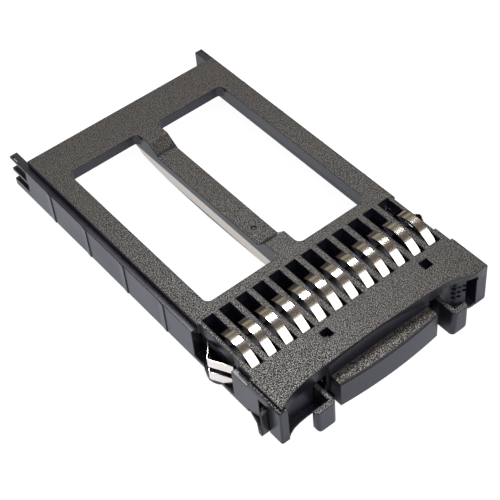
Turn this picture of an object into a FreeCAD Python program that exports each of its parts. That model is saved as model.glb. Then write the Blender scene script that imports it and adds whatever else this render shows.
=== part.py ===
"""Hot swap drive caddy for a 2.5 inch bay: a parametric FreeCAD document.

Millimetres, +Z up, front of the caddy towards -Y. Every body is drawn about a datum plane
y = 0 that passes through the roots of the contact fingers. A common placement then puts the
origin at the bottom centre of the whole caddy.
"""
import FreeCAD
import Part
import math
import os
import re
import Sketcher

Vector = FreeCAD.Vector

# Driving dimensions: alias, value or formula, what it is.
SIZES = [
    # heights
    ("plate_top", 14.43, "top face of the plate"),
    ("plate_thick", 3.73, "thickness of the plate"),
    ("ledge_z", 11.92, "top of the side rails behind the opening"),
    ("floor_thick", 1.2, "floor under the front half"),
    # plan of the plate
    ("outer_half", 37.75, "half width over the side rails"),
    ("wall_thick", 2.65, "thickness of the side rails"),
    ("plate_half", "=outer_half - 1.8", "half width of the plate at the rear"),
    ("waist_half", "=outer_half - 2.35", "half width of the plate over the side openings"),
    ("step_half", "=outer_half - 1.7", "half width of the plate over the cheek panels"),
    ("front_half", "=outer_half - 0.99", "half width of the plate at the front block"),
    ("rear_y", 90.33, "rear edge of the plate"),
    ("brow_y", -29.45, "front edge of the plate at mid width"),
    ("face_y", -33.3, "front face of the corner posts"),
    ("block_y", -19.8, "rear end of the front block"),
    # windows and the beam between them
    ("window_front_y", 8.0, "front edge of the two windows"),
    ("window_length", 69.3, "length of the windows"),
    ("window_half", "=outer_half - 8.35", "outer edge of the windows from the middle"),
    ("window_corner", 2.0, "corner radius of the windows"),
    ("beam_half", 3.65, "half width of the beam"),
    ("beam_drop", 3.23, "how far the beam lies under the plate top"),
    ("beam_flange", 2.7, "thickness of the beam's upright edge"),
    ("beam_depth", 8.85, "depth of the beam at its ends"),
    ("beam_belly", 0.8, "extra depth of the beam at mid length"),
    ("beam_low_half", 2.4, "half width of the beam at its underside"),
    ("foot_length", 6.5, "length of the beam's foot at plate level"),
    ("foot_slope", 3.3, "run of the slope at the foot"),
    ("ramp_start", 6.0, "distance of the rear ramp from the window's rear edge"),
    ("ramp_length", 5.05, "run of the rear ramp"),
    ("dimple_y", 23.9, "position of the gate dimple on the beam"),
    ("dimple_radius", 0.8, "radius of the gate dimple"),
    ("dimple_depth", 0.5, "depth of the gate dimple"),
    # finger slots
    ("slot_count", 12, "number of finger slots"),
    ("slot_width", 3.9, "width of a finger slot"),
    ("slot_margin", 1.22, "plate left outside the outermost slots"),
    ("slot_pitch", "=(2 * (waist_half - slot_margin) - slot_width) / (slot_count - 1)",
     "pitch of the finger slots"),
    ("slot_rear_y", 4.2, "rear edge of the finger slots"),
    ("slot_length", 22.05, "length of the finger slots"),
    ("tip_pocket", 2.2, "length of the relief for the finger tips"),
    ("tip_skin", 1.5, "skin left over the finger tips"),
    # side openings and cheek panels
    ("opening_rear_y", 4.7, "rear edge of the side openings"),
    ("opening_length", 17.6, "length of the side openings"),
    ("sill_z", 1.46, "top of the sill under the side openings"),
    ("cheek_z", 11.65, "top of the cheek panels"),
    ("cheek_thick", 1.75, "thickness of the cheek panels"),
    ("band_z", 11.8, "lower edge of the bevel on the front block"),
    ("shoulder_z", 13.3, "upper edge of the bevel on the front block"),
    ("shoulder_half", "=outer_half - 0.15", "half width at the upper edge of that bevel"),
    # grip ridges along the rails
    ("ridge_first_y", 17.7, "first ridge on the rail"),
    ("ridge_pitch", 19.3, "pitch of the ridges"),
    ("ridge_count", 4, "ridges on each rail"),
    ("ridge_height", 0.25, "height of a ridge"),
    ("ridge_ramp", 2.6, "run of a ridge on its rear side"),
    # forks at the rear corners
    ("fork_length", 8.4, "length of the forks behind the plate"),
    ("fork_thick", "=wall_thick", "thickness of the forks"),
    ("notch_low_z", 2.6, "underside of the lower notch"),
    ("notch_low_height", 3.3, "height of the lower notch"),
    ("notch_high_z", 7.1, "underside of the upper notch"),
    ("notch_high_height", 3.9, "height of the upper notch"),
    ("notch_skin", 0.9, "skin left on the inside of the right fork's notches"),
    ("tine_slot_length", 3.0, "length of the slit in the top tine"),
    ("tine_slot_width", 0.45, "width of the slit in the top tine"),
    # front wall, posts and recesses
    ("wall_back_y", -28.3, "back face of the front wall"),
    ("panel_y", -30.35, "front face of the wall behind the grip bar"),
    ("recess_y", -29.3, "front face of the wall in the recesses"),
    ("front_shift", -0.2, "sideways shift of the bar and the latches"),
    ("post_left", 2.65, "width of the left corner post"),
    ("post_right", 4.4, "width of the right corner post"),
    ("lip_height", 1.0, "height of the lip under the recesses"),
    ("lip_reach", 1.5, "reach of that lip in front of the brow"),
    ("pocket_width", 2.75, "width of the pocket between the vents and the right post"),
    ("brow_thick", 2.0, "thickness of the plate over the right recess"),
    ("post_chamfer", 1.0, "chamfer under the right corner post"),
    ("post_round_right", 0.8, "corner radius of the right corner post"),
    ("post_round_left", 0.6, "corner radius of the left corner post"),
    ("vent_radius", 0.56, "radius of the vent holes"),
    ("vent_x", "=outer_half - 10.25", "first column of the vent holes"),
    ("vent_pitch_x", 1.34, "column pitch of the vent holes"),
    ("vent_pitch_z", 1.9, "row pitch of the vent holes"),
    ("vent_top_z", 8.4, "top hole of the first column of vent holes"),
    ("vent_rise", 0.45, "height of each column of vent holes over the one before it"),
    # square light pipe holes
    ("hole_side", 3.04, "side of the square holes"),
    ("hole_y", -21.8, "centre of the square holes"),
    ("hole_left_x", -11.9, "centre of the left square hole"),
    ("hole_right_x", 24.65, "centre of the right square hole"),
    # grip bar
    ("bar_half", 17.8, "half length of the grip bar"),
    ("bar_top_z", 9.2, "top of the grip bar"),
    ("bar_end_y", -34.15, "front face of the grip bar at its ends"),
    ("bar_bulge", 1.05, "bulge of the grip bar at its middle"),
    ("bar_chamfer", 0.5, "chamfer on the top front edge of the grip bar"),
    # latches
    ("latch_travel", 2.6, "travel of a latch"),
    ("latch_gap", 0.3, "running clearance around a latch"),
    ("arm_x", 21.6, "inner face of a latch arm from the middle"),
    ("arm_thick", 1.4, "thickness of a latch arm"),
    ("tab_left", 6.9, "width of the left finger tab"),
    ("tab_right", 5.3, "width of the right finger tab"),
    ("tab_thick", 1.8, "thickness of a finger tab"),
    ("tab_y", -37.1, "front face of the finger tabs"),
    ("tab_top_z", 8.5, "top of the finger tabs"),
    ("tab_low_z", 0.1, "underside of the finger tabs"),
    ("tab_corner", 2.0, "radius of a tab's lower outer corner"),
    ("tab_edge", 1.3, "radius of a tab's upright front edges"),
    ("tab_lean", 0.9, "how far the right tab's inner face leans in at its foot"),
    ("slide_rear_y", -25.0, "rear face of the latch slides"),
    ("slide_thick", 2.5, "thickness of the latch slides"),
    ("slide_low_z", 1.5, "underside of the latch slides"),
    ("hook_reach", "=outer_half + 2.3", "tip of a hook from the middle"),
    ("hook_root", "=outer_half - 3.35", "inner end of a hook from the middle"),
    ("hook_catch_y", -27.9, "catch face of the hooks"),
    ("post_rear_y", "=hook_catch_y - latch_gap", "rear face of the corner posts"),
    ("hook_top_z", 9.1, "top of the hooks"),
    ("hook_low_z", 0.3, "underside of the hooks"),
    ("shoe_rear_y", -19.5, "rear end of the hook's low shoe"),
    ("shoe_height", 1.0, "height of the hook's low shoe"),
    ("shoe_inner", "=outer_half - 2.35", "inner edge of the hook's low shoe"),
    ("hook_slot_rear_y", -24.2, "rear edge of the hook slots in the side walls"),
    ("guide_thick", 1.2, "thickness of the guide wall behind the slides"),
    # return springs
    ("spring_length", 8.6, "length of a return spring at rest"),
    ("spring_radius", 1.2, "mean radius of a return spring"),
    ("spring_wire", 0.5, "wire diameter of the return springs"),
    ("spring_turns", 5, "turns of a return spring"),
    ("spigot_radius", 0.8, "radius of the spigots inside the springs"),
    ("spigot_length", 1.6, "length of those spigots"),
    ("stop_thick", 1.2, "thickness of the spring stops"),
    # contact fingers over the top
    ("metal_thick", 0.2, "thickness of the contact metal"),
    ("finger_width", 2.8, "width of a contact finger"),
    ("finger_tip_width", 2.5, "width of a contact finger at its tip"),
    ("finger_span", 18.95, "length of a finger from root to tip"),
    ("finger_rise", 2.47, "height of the fingers over the plate"),
    ("carrier_width", 4.8, "width of the strip that carries the fingers"),
    # contact fingers at the sides
    ("side_root_y", 3.0, "root of the side fingers"),
    ("side_crest_y", -4.3, "crest of the side fingers"),
    ("side_tip_y", -11.4, "tip of the side fingers"),
    ("side_crest", "=outer_half + 1.85", "crest of the side fingers from the middle"),
    ("side_tip", "=outer_half - 1.85", "tip of the side fingers from the middle"),
    ("side_finger_height", 3.2, "height of one side finger"),
    ("side_low_z", 1.6, "underside of the lower side finger"),
    ("side_high_z", 7.2, "underside of the upper side finger"),
    ("guard_reach", 1.55, "reach of the rounded guard on the sill under the side fingers"),
    ("guard_length", 8.8, "length of that guard"),
    ("inner_wall_x", "=outer_half - 3.75", "outer face of the wall behind the side fingers"),
    ("inner_wall_thick", 1.3, "thickness of the wall behind the side fingers"),
    ("inner_wall_z", 9.7, "top of the wall behind the side fingers"),
    ("bulkhead_y", 5.0, "front face of the bulkhead before the windows"),
    ("bulkhead_thick", 1.5, "thickness of that bulkhead"),
]
NAMES = {name for name, value, note in SIZES}

doc = FreeCAD.newDocument("drive_caddy")
sheet = doc.addObject("Spreadsheet::Sheet", "sizes")
for row, (name, value, note) in enumerate(SIZES, start=1):
    sheet.set("A%d" % row, name)
    sheet.set("B%d" % row, str(value))
    sheet.set("C%d" % row, note)
    sheet.setAlias("B%d" % row, name)
doc.recompute()


def bind(text):
    """An expression written with bare size names, pointed at the sheet."""
    return re.sub(
        r"[a-z_]+", lambda m: "sizes." + m.group(0) if m.group(0) in NAMES else m.group(0), text
    )


def size(name):
    """The number that the sheet holds under a name."""
    return float(sheet.get(name))


def new_body(label):
    """A body that shares the caddy's common placement."""
    body = doc.addObject("PartDesign::Body", label)
    body.Label = label
    body.AllowCompound = True
    body.setExpression("Placement.Base.y", bind("-(rear_y + fork_length + tab_y) / 2"))
    return body


def origin_item(body, role):
    """A plane or an axis of the body's own origin, found by its role."""
    for item in body.Origin.OriginFeatures:
        if item.Role == role:
            return item
    raise ValueError(role)


def draw(body, label, plane, offset, loops):
    """A sketch of closed polygons, each corner placed by two bound distances."""
    sketch = body.newObject("Sketcher::SketchObject", label)
    sketch.AttachmentSupport = (origin_item(body, plane + "_Plane"), [""])
    sketch.MapMode = "FlatFace"
    sketch.setExpression("AttachmentOffset.Base.z", bind(offset))
    for loop in loops:
        first = sketch.GeometryCount
        count = len(loop)
        ring = [
            Vector(9 * math.cos(2 * math.pi * i / count), 9 * math.sin(2 * math.pi * i / count), 0)
            for i in range(count)
        ]
        lines = [Part.LineSegment(ring[i], ring[(i + 1) % count]) for i in range(count)]
        sketch.addGeometry(lines, False)
        joins = [
            Sketcher.Constraint("Coincident", first + i, 2, first + (i + 1) % count, 1)
            for i in range(count)
        ]
        sketch.addConstraint(joins)
        for i, (across, along) in enumerate(loop):
            for kind, value, text in (
                ("DistanceX", ring[i].x, across),
                ("DistanceY", ring[i].y, along),
            ):
                index = sketch.addConstraint(
                    Sketcher.Constraint(kind, -1, 1, first + i, 1, value)
                )
                sketch.setExpression("Constraints[%d]" % index, bind(str(text)))
    return sketch


def prism(body, kind, label, plane, low, high, loops):
    """A pad or pocket of polygons between two positions along the plane's normal."""
    offset = "-(%s)" % high if plane == "XZ" else low
    sketch = draw(body, label + "_sketch", plane, offset, loops)
    feature = body.newObject("PartDesign::" + kind, label)
    feature.Profile = sketch
    feature.Type = "Length"
    feature.setExpression("Length", bind("(%s) - (%s)" % (high, low)))
    if kind == "Pocket":
        feature.Reversed = True
    return feature


def add(body, label, plane, low, high, *loops):
    return prism(body, "Pad", label, plane, low, high, loops)


def cut(body, label, plane, low, high, *loops):
    return prism(body, "Pocket", label, plane, low, high, loops)


def box(x0, x1, y0, y1):
    """A rectangle as a loop."""
    return [(x0, y0), (x1, y0), (x1, y1), (x0, y1)]


def mirrored(loop):
    """The same loop on the other side of the middle plane."""
    return [("-(%s)" % across, along) for across, along in loop]


def both(loop):
    return loop, mirrored(loop)


def shifted(loop, side):
    """A loop drawn for the right latch, placed on its side and moved with the bar."""
    sign = "" if side > 0 else "-"
    return [("front_shift + %s(%s)" % (sign, across), along) for across, along in loop]


def corner(across, along, radius, out_across, out_along):
    """What lies outside a rounded corner that points out by the two signs."""
    def inward(place, sign, share):
        return "%s - (%d) * %.4f * %s" % (place, sign, share, radius)

    steps = [math.radians(18 * i) for i in range(6)]
    arc = [
        (inward(across, out_across, 1 - math.sin(turn)), inward(along, out_along, 1 - math.cos(turn)))
        for turn in steps
    ]
    far_across = "%s + (%d)" % (across, out_across)
    far_along = "%s + (%d)" % (along, out_along)
    return arc + [(far_across, inward(along, out_along, 1)), (far_across, far_along),
                  (inward(across, out_across, 1), far_along)]


def circle_hole(body, label, plane, offset, centre, radius, depth, reverse):
    """A round pocket whose centre and radius are bound."""
    sketch = body.newObject("Sketcher::SketchObject", label + "_sketch")
    sketch.AttachmentSupport = (origin_item(body, plane + "_Plane"), [""])
    sketch.MapMode = "FlatFace"
    sketch.setExpression("AttachmentOffset.Base.z", bind(offset))
    for across, along in centre:
        index = sketch.addGeometry(Part.Circle(Vector(1, 1, 0), Vector(0, 0, 1), 1), False)
        for kind, text in (("DistanceX", across), ("DistanceY", along)):
            number = sketch.addConstraint(Sketcher.Constraint(kind, -1, 1, index, 3, 1.0))
            sketch.setExpression("Constraints[%d]" % number, bind(str(text)))
        number = sketch.addConstraint(Sketcher.Constraint("Radius", index, 1.0))
        sketch.setExpression("Constraints[%d]" % number, bind(radius))
    feature = body.newObject("PartDesign::Pocket", label)
    feature.Profile = sketch
    feature.Type = "Length"
    feature.setExpression("Length", bind(depth))
    feature.Reversed = reverse
    return feature


def upright_edges(shape, corners, tolerance=0.02):
    """Names of the edges that run along Z through the given corners of a body's own frame."""
    names = []
    for number, edge in enumerate(shape.Edges, start=1):
        ends = [vertex.Point for vertex in edge.Vertexes]
        if len(ends) != 2 or abs(ends[0].z - ends[1].z) < 0.5:
            continue
        if (ends[0] - ends[1]).x ** 2 + (ends[0] - ends[1]).y ** 2 > 1e-6:
            continue
        for x, y in corners:
            if abs(ends[0].x - x) < tolerance and abs(ends[0].y - y) < tolerance:
                names.append("Edge%d" % number)
    return names


def round_edges(body, label, base, names, radius):
    fillet = body.newObject("PartDesign::Fillet", label)
    fillet.Base = (base, names)
    fillet.setExpression("Radius", bind(radius))
    return fillet


def pattern(body, label, originals, pitch, count, axis="X_Axis"):
    """Copies of features along one axis of the body, and the body's tip on them."""
    row = body.newObject("PartDesign::LinearPattern", label)
    row.Originals = originals
    row.Direction = (origin_item(body, axis), [""])
    row.setExpression("Length", bind("(%s) * (%s - 1)" % (pitch, count)))
    row.setExpression("Occurrences", bind(count))
    body.Tip = row
    return row


# ---------------------------------------------------------------- tray: one moulding
tray = new_body("tray_body")

# Front edge of the plate from the right post to the left one, as (x, drop in front of the brow).
# The drop is given in parts of the depth from the brow to the face of the posts.
EDGE = [
    (36.76, 1.0), (34.9, 1.06), (33.0, 1.08), (31.9, 1.02), (30.8, 0.93), (29.7, 0.8),
    (28.6, 0.67), (27.4, 0.56), (26.1, 0.44), (24.7, 0.35), (23.3, 0.29), (21.9, 0.25),
    (19.1, 0.19), (16.4, 0.15), (13.6, 0.115), (8.0, 0.055), (2.4, 0.013), (-3.0, 0.0),
    (-8.7, 0.01), (-14.0, 0.026), (-19.8, 0.065), (-25.3, 0.14), (-28.1, 0.22),
    (-30.3, 0.32), (-32.6, 0.47), (-34.2, 0.63), (-35.9, 0.82), (-36.76, 0.93),
]


def edge_points(low=-40.0, high=40.0):
    """Corners along the curved front edge, bound to the brow, the face and the half width."""
    return [
        ("%.5f * front_half" % (x / 36.76), "brow_y + %.3f * (face_y - brow_y)" % part)
        for x, part in EDGE
        if low <= x <= high
    ]


outline = [
    ("plate_half", "rear_y"),
    ("plate_half", "opening_rear_y - 1"),
    ("waist_half", "opening_rear_y - 1"),
    ("waist_half", "opening_rear_y - opening_length - 1"),
    ("step_half", "opening_rear_y - opening_length - 1"),
    ("step_half", "block_y"),
    ("front_half", "block_y"),
]
plate_low = "plate_top - plate_thick"
add(tray, "plate", "XY", plate_low, "plate_top",
    outline + edge_points() + list(reversed(mirrored(outline))))

# The windows are cut first, so that their rounded corners run into the strip between them.
window_rear = "window_front_y + window_length"
windows = cut(tray, "windows", "XY", plate_low, "plate_top",
              *both(box("beam_half", "window_half", "window_front_y", window_rear)))
doc.recompute()
corners = [
    (side * x, y)
    for side in (-1, 1)
    for x in (size("beam_half"), size("window_half"))
    for y in (size("window_front_y"), size("window_front_y") + size("window_length"))
]
round_edges(tray, "window_corners", windows, upright_edges(windows.Shape, corners),
            "window_corner")

# The strip between the windows sinks into a thinner beam with a ramp at its rear end.
foot_rear = "window_front_y + foot_length"
ramp_top = "window_front_y + window_length - ramp_start"
ramp_foot = "window_front_y + window_length - ramp_start - ramp_length"
beam_top = "plate_top - beam_drop"
cut(tray, "beam_clearing", "XY", plate_low, "plate_top",
    box("-beam_half", "beam_half", foot_rear, ramp_top))
beam_low = "plate_top - beam_drop - beam_depth"
beam_side = [
    (foot_rear, "plate_top"),
    (foot_rear + " + foot_slope", beam_top),
    (ramp_foot, beam_top),
    (ramp_top, "plate_top"),
    (ramp_top, plate_low + " + 0.3"),
    (window_rear + " + 3.5", plate_low + " + 0.3"),
    (window_rear + " - 0.6", beam_low + " + 2.8"),
    (ramp_foot + " + 4.2", beam_low + " + 0.9"),
    (ramp_foot, beam_low),
    ("window_front_y + 0.70 * window_length", beam_low + " - 0.6 * beam_belly"),
    ("window_front_y + 0.53 * window_length", beam_low + " - beam_belly"),
    ("window_front_y + 0.36 * window_length", beam_low + " - 0.7 * beam_belly"),
    (foot_rear + " + foot_slope", beam_low),
    ("window_front_y", beam_low + " + 0.8"),
    ("bulkhead_y", beam_low + " + 0.8"),
    ("bulkhead_y", plate_low + " + 0.3"),
    (foot_rear, plate_low + " + 0.3"),
]
add(tray, "beam", "YZ", "-beam_half", "beam_half", beam_side)
flank = [
    ("beam_half", beam_top + " - beam_flange"),
    ("beam_half + 1", beam_top + " - beam_flange"),
    ("beam_half + 1", beam_low + " - beam_belly - 1"),
    ("beam_low_half", beam_low + " - beam_belly - 1"),
    ("beam_low_half", beam_low),
]
cut(tray, "beam_flanks", "XZ", "bulkhead_y", window_rear + " + 3.5", *both(flank))
circle_hole(tray, "gate_dimple", "XY", beam_top, [("-0.3", "dimple_y")], "dimple_radius",
            "dimple_depth", False)

# Side rails, forks, sills, cheek panels and the walls of the front block, on both sides.
rail_in = "outer_half - wall_thick"
opening_front = "opening_rear_y - opening_length"
add(tray, "rails", "XY", "0", "ledge_z",
    *both(box(rail_in, "outer_half", "opening_rear_y", "rear_y")))
add(tray, "forks", "XY", "0", "ledge_z",
    *both(box("outer_half - fork_thick", "outer_half", "rear_y", "rear_y + fork_length")))
add(tray, "sills", "XY", "0", "sill_z",
    *both(box(rail_in, "outer_half", "face_y + 1", "opening_rear_y")))
guard = [
    ("outer_half - 0.6", "side_crest_y + 0.8 + 0.50 * guard_length"),
    ("outer_half + 0.05 * guard_reach", "side_crest_y + 0.8 + 0.46 * guard_length"),
    ("outer_half + 0.45 * guard_reach", "side_crest_y + 0.8 + 0.30 * guard_length"),
    ("outer_half + 0.82 * guard_reach", "side_crest_y + 0.8 + 0.13 * guard_length"),
    ("outer_half + guard_reach", "side_crest_y + 0.8 - 0.03 * guard_length"),
    ("outer_half + 0.82 * guard_reach", "side_crest_y + 0.8 - 0.20 * guard_length"),
    ("outer_half + 0.40 * guard_reach", "side_crest_y + 0.8 - 0.35 * guard_length"),
    ("outer_half - 0.6", "side_crest_y + 0.8 - 0.50 * guard_length"),
]
add(tray, "finger_guards", "XY", "0", "sill_z - 0.1", *both(guard))
add(tray, "cheeks", "XY", "sill_z", "cheek_z",
    *both(box("outer_half - cheek_thick", "outer_half", "hook_slot_rear_y", opening_front)))
block_side = [
    (rail_in, "band_z - 1"),
    ("outer_half", "band_z - 1"),
    ("outer_half", "band_z"),
    ("shoulder_half", "shoulder_z"),
    (rail_in, "shoulder_z"),
]
add(tray, "block_sides", "XZ", "face_y", "block_y", *both(block_side))
post_right = box("outer_half - post_right", "outer_half", "face_y", "post_rear_y")
post_left = mirrored(box("outer_half - post_left", "outer_half", "face_y", "post_rear_y"))
add(tray, "posts", "XY", "0", "shoulder_z - 0.3", post_right, post_left)

# Notches that split the left fork into three tines, and shallow ones in the right fork.
fork_root = "rear_y - 0.2"
fork_end = "rear_y + fork_length + 1"


def notch(low, height):
    """A slot open to the rear with a bevelled inner end."""
    return [
        (fork_root, low),
        (fork_end, low),
        (fork_end, "%s + %s" % (low, height)),
        (fork_root + " - 0.2", "%s + %s" % (low, height)),
        (fork_root + " - 0.05", "%s + 0.62 * %s" % (low, height)),
    ]


for side, low, high in (
    ("right", "outer_half - fork_thick + notch_skin", "outer_half + 1"),
    ("left", "-outer_half - 1", "fork_thick + 1 - outer_half"),
):
    cut(tray, "notches_" + side, "YZ", low, high,
        notch("notch_low_z", "notch_low_height"), notch("notch_high_z", "notch_high_height"))
slit = box("outer_half - 0.4 - tine_slot_width", "outer_half - 0.4",
           "rear_y + fork_length - 0.8 - tine_slot_length", "rear_y + fork_length - 0.8")
cut(tray, "tine_slits", "XY", "ledge_z - 1.2", "ledge_z", *both(slit))

# Ridges: each rises gently from behind and drops at its front.
ridge = [
    ("outer_half - 0.5", "ridge_first_y"),
    ("outer_half + ridge_height", "ridge_first_y"),
    ("outer_half", "ridge_first_y + ridge_ramp"),
    ("outer_half - 0.5", "ridge_first_y + ridge_ramp"),
]
ridges = add(tray, "ridge", "XY", "0", "ledge_z - 0.2", *both(ridge))
pattern(tray, "ridge_row", [ridges], "ridge_pitch", "ridge_count", "Y_Axis")

# Floor and inner walls of the front half.
floor_rear = "bulkhead_y + bulkhead_thick"
add(tray, "floor", "XY", "0", "floor_thick",
    box("-(%s) - 0.3" % rail_in, rail_in + " + 0.3", "wall_back_y", floor_rear))
add(tray, "bulkhead", "XY", "0", plate_low + " + 0.3",
    box("-(%s) - 0.3" % rail_in, rail_in + " + 0.3", "bulkhead_y", floor_rear))
add(tray, "inner_walls", "XY", "0", "inner_wall_z",
    *both(box("inner_wall_x - inner_wall_thick", "inner_wall_x",
              opening_front + " - 1.5", "bulkhead_y + 0.3")))

# Front wall: flat in the left recess, curved around the vents in the right one.
pocket_in = "outer_half - post_right - pocket_width"
vent_wall = [
    ("0.70 * outer_half", "recess_y"),
    ("0.725 * outer_half", "recess_y - 0.45"),
    (pocket_in + " - 2.4", "recess_y - 1.25"),
    (pocket_in + " - 1.0", "recess_y - 1.95"),
    (pocket_in, "recess_y - 2.6"),
    (pocket_in, "recess_y + 0.2"),
]
wall = [
    ("-(%s) - 0.3" % rail_in, "wall_back_y"),
    ("-(%s) - 0.3" % rail_in, "recess_y"),
    *vent_wall,
    (rail_in + " + 0.3", "recess_y + 0.2"),
    (rail_in + " + 0.3", "wall_back_y"),
]
add(tray, "front_wall", "XY", "0", plate_low + " + 0.3", wall)
under_brow = [
    ("arm_x + arm_thick", "recess_y"),
    *vent_wall,
    ("outer_half - post_right", "recess_y + 0.2"),
    ("outer_half - post_right", "face_y - 1"),
    ("arm_x + arm_thick", "face_y - 1"),
]
cut(tray, "brow_relief", "XY", plate_low, "plate_top - brow_thick", under_brow)
lean = [
    ("wall_back_y", "0"),
    ("panel_y", "0"),
    ("panel_y", "bar_top_z"),
    ("brow_y", "plate_top - 0.6"),
    ("wall_back_y", "plate_top - 0.6"),
]
bar_left = "front_shift - bar_half"
bar_right = "front_shift + bar_half"
add(tray, "front_panel", "YZ", bar_left, bar_right, lean)
lip_left = [
    (bar_left, "wall_back_y"),
    (bar_left, "brow_y - lip_reach"),
    ("-0.650 * outer_half", "brow_y - lip_reach"),
    ("-0.715 * outer_half", "brow_y - lip_reach + 0.05"),
    ("-0.790 * outer_half", "brow_y - lip_reach - 0.15"),
    ("-0.850 * outer_half", "brow_y - lip_reach - 0.55"),
    ("-0.893 * outer_half", "brow_y - lip_reach - 1.25"),
    ("-0.925 * outer_half", "face_y + 0.4"),
    ("0.4 - outer_half", "face_y + 0.2"),
    ("0.4 - outer_half", "post_rear_y"),
    ("-0.9 * outer_half", "wall_back_y"),
]
lip_right = [
    (bar_right, "wall_back_y"),
    (bar_right, "brow_y - lip_reach"),
    ("0.650 * outer_half", "brow_y - lip_reach"),
    ("0.715 * outer_half", "brow_y - lip_reach - 0.3"),
    (pocket_in + " - 2.6", "brow_y - lip_reach - 1.0"),
    (pocket_in + " - 1.0", "brow_y - lip_reach - 1.9"),
    (pocket_in, "face_y + 0.35"),
    (pocket_in + " + 1.2", "face_y + 0.05"),
    ("outer_half - 0.4", "face_y"),
    ("outer_half - 0.4", "post_rear_y"),
    ("0.9 * outer_half", "wall_back_y"),
]
add(tray, "recess_lips", "XY", "0", "lip_height", lip_left, lip_right)

# Grip bar with a bulged front.
STEPS = 16
bulge = [
    (
        "front_shift + %.4f * bar_half" % (2.0 * i / STEPS - 1),
        "bar_end_y - %.4f * bar_bulge" % (1 - (2.0 * i / STEPS - 1) ** 2),
    )
    for i in range(STEPS + 1)
]
bar_loop = bulge + [(bar_right, "panel_y + 0.5"), (bar_left, "panel_y + 0.5")]
add(tray, "grip_bar", "XY", "0", "bar_top_z - bar_chamfer", bar_loop)
low_crown = draw(tray, "bar_crown_low", "XY", "bar_top_z - bar_chamfer", [bar_loop])
high_loop = [(x, y + " + bar_chamfer") for x, y in bulge]
high_loop += [(bar_right, "panel_y + 0.5"), (bar_left, "panel_y + 0.5")]
high_crown = draw(tray, "bar_crown_high", "XY", "bar_top_z", [high_loop])
crown = tray.newObject("PartDesign::AdditiveLoft", "bar_crown")
crown.Profile = low_crown
crown.Sections = [high_crown]
crown.Ruled = True

# Latch bay: guide wall behind the slides, ribs over them, and a stop for each spring.
slide_front = "slide_rear_y - slide_thick"
guide_front = "slide_rear_y + latch_gap"
guide_end = "shoe_inner - latch_travel - latch_gap"
stop_x = "arm_x - spring_length"
add(tray, "guide_wall", "XY", "0", plate_low + " + 0.3",
    box("-(%s)" % guide_end, guide_end, guide_front, guide_front + " + guide_thick"))
rib = box("arm_x + arm_thick + 1", "arm_x + arm_thick + 2.4", slide_front, guide_front + " + 0.3")
rib_out = box("hook_root - 5.6", "hook_root - 4.2", slide_front, guide_front + " + 0.3")
add(tray, "guide_ribs", "XY", "tab_top_z + latch_gap", plate_low + " + 0.3",
    *(shifted(rib, side) for side in (1, -1)), *(both(rib_out)))
stop = box(stop_x + " - stop_thick", stop_x, "wall_back_y - 0.3", guide_front + " + 0.3")
add(tray, "spring_stops", "XY", "0", plate_low + " + 0.3", shifted(stop, 1), shifted(stop, -1))

# Cuts through the front: arm openings, hook slots, shoe clearance, pocket and vents.
arm_hole = box("arm_x - latch_travel - 0.5", "arm_x + arm_thick + 0.15",
               "brow_y - 6", slide_front + " + 0.5 + latch_gap")
cut(tray, "arm_openings", "XY", "-1", "tab_top_z + 0.9", shifted(arm_hole, 1),
    shifted(arm_hole, -1))
shoe_bay = box("hook_root - latch_travel - latch_gap", "outer_half + 1",
               "hook_catch_y - latch_gap", "shoe_rear_y + latch_gap")
cut(tray, "shoe_bays", "XY", "-1", "sill_z", *both(shoe_bay))
hook_slot = box("outer_half - wall_thick - 1", "outer_half + 1", "post_rear_y",
                "hook_slot_rear_y")
cut(tray, "hook_slots", "XY", "sill_z", "band_z - 1", *both(hook_slot))
heel = [
    ("outer_half - post_chamfer", "-0.1"),
    ("outer_half + 0.2", "-0.1"),
    ("outer_half + 0.2", "post_chamfer * 1.1"),
]
cut(tray, "post_heel", "XZ", "face_y - 1", "post_rear_y", heel)


cut(tray, "post_corners", "XY", "-1", "plate_top + 1",
    corner("outer_half", "face_y", "post_round_right", 1, -1),
    mirrored(corner("outer_half", "face_y", "post_round_left", 1, -1)))
vents = [
    ("vent_x + %d * vent_pitch_x" % column,
     "vent_top_z + %d * vent_rise - %d * vent_pitch_z" % (column, row))
    for row in range(3)
    for column in range(3)
    if row < 2 or column < 2
]
circle_hole(tray, "vents", "XZ", "-(wall_back_y + 0.5)", vents, "vent_radius",
            "wall_back_y + 0.5 - recess_y + 2.7", True)

# Square holes through the plate.
def square(x):
    return box(x + " - hole_side / 2", x + " + hole_side / 2",
               "hole_y - hole_side / 2", "hole_y + hole_side / 2")


cut(tray, "square_holes", "XY", plate_low, "plate_top",
    square("hole_left_x"), square("hole_right_x"))

# Finger slots, with a relief under the plate for each finger's tip.
first_x = "-(slot_pitch * (slot_count - 1) / 2)"
slot_front = "slot_rear_y - slot_length"
slot = cut(tray, "slot", "XY", plate_low, "plate_top",
           box(first_x + " - slot_width / 2", first_x + " + slot_width / 2",
               slot_front, "slot_rear_y"))
relief = cut(tray, "tip_relief", "XY", plate_low, "plate_top - tip_skin",
             box(first_x + " - slot_width / 2", first_x + " + slot_width / 2",
                 slot_front + " - tip_pocket", slot_front + " + 0.1"))
pattern(tray, "slot_row", [slot, relief], "slot_pitch", "slot_count")

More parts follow.
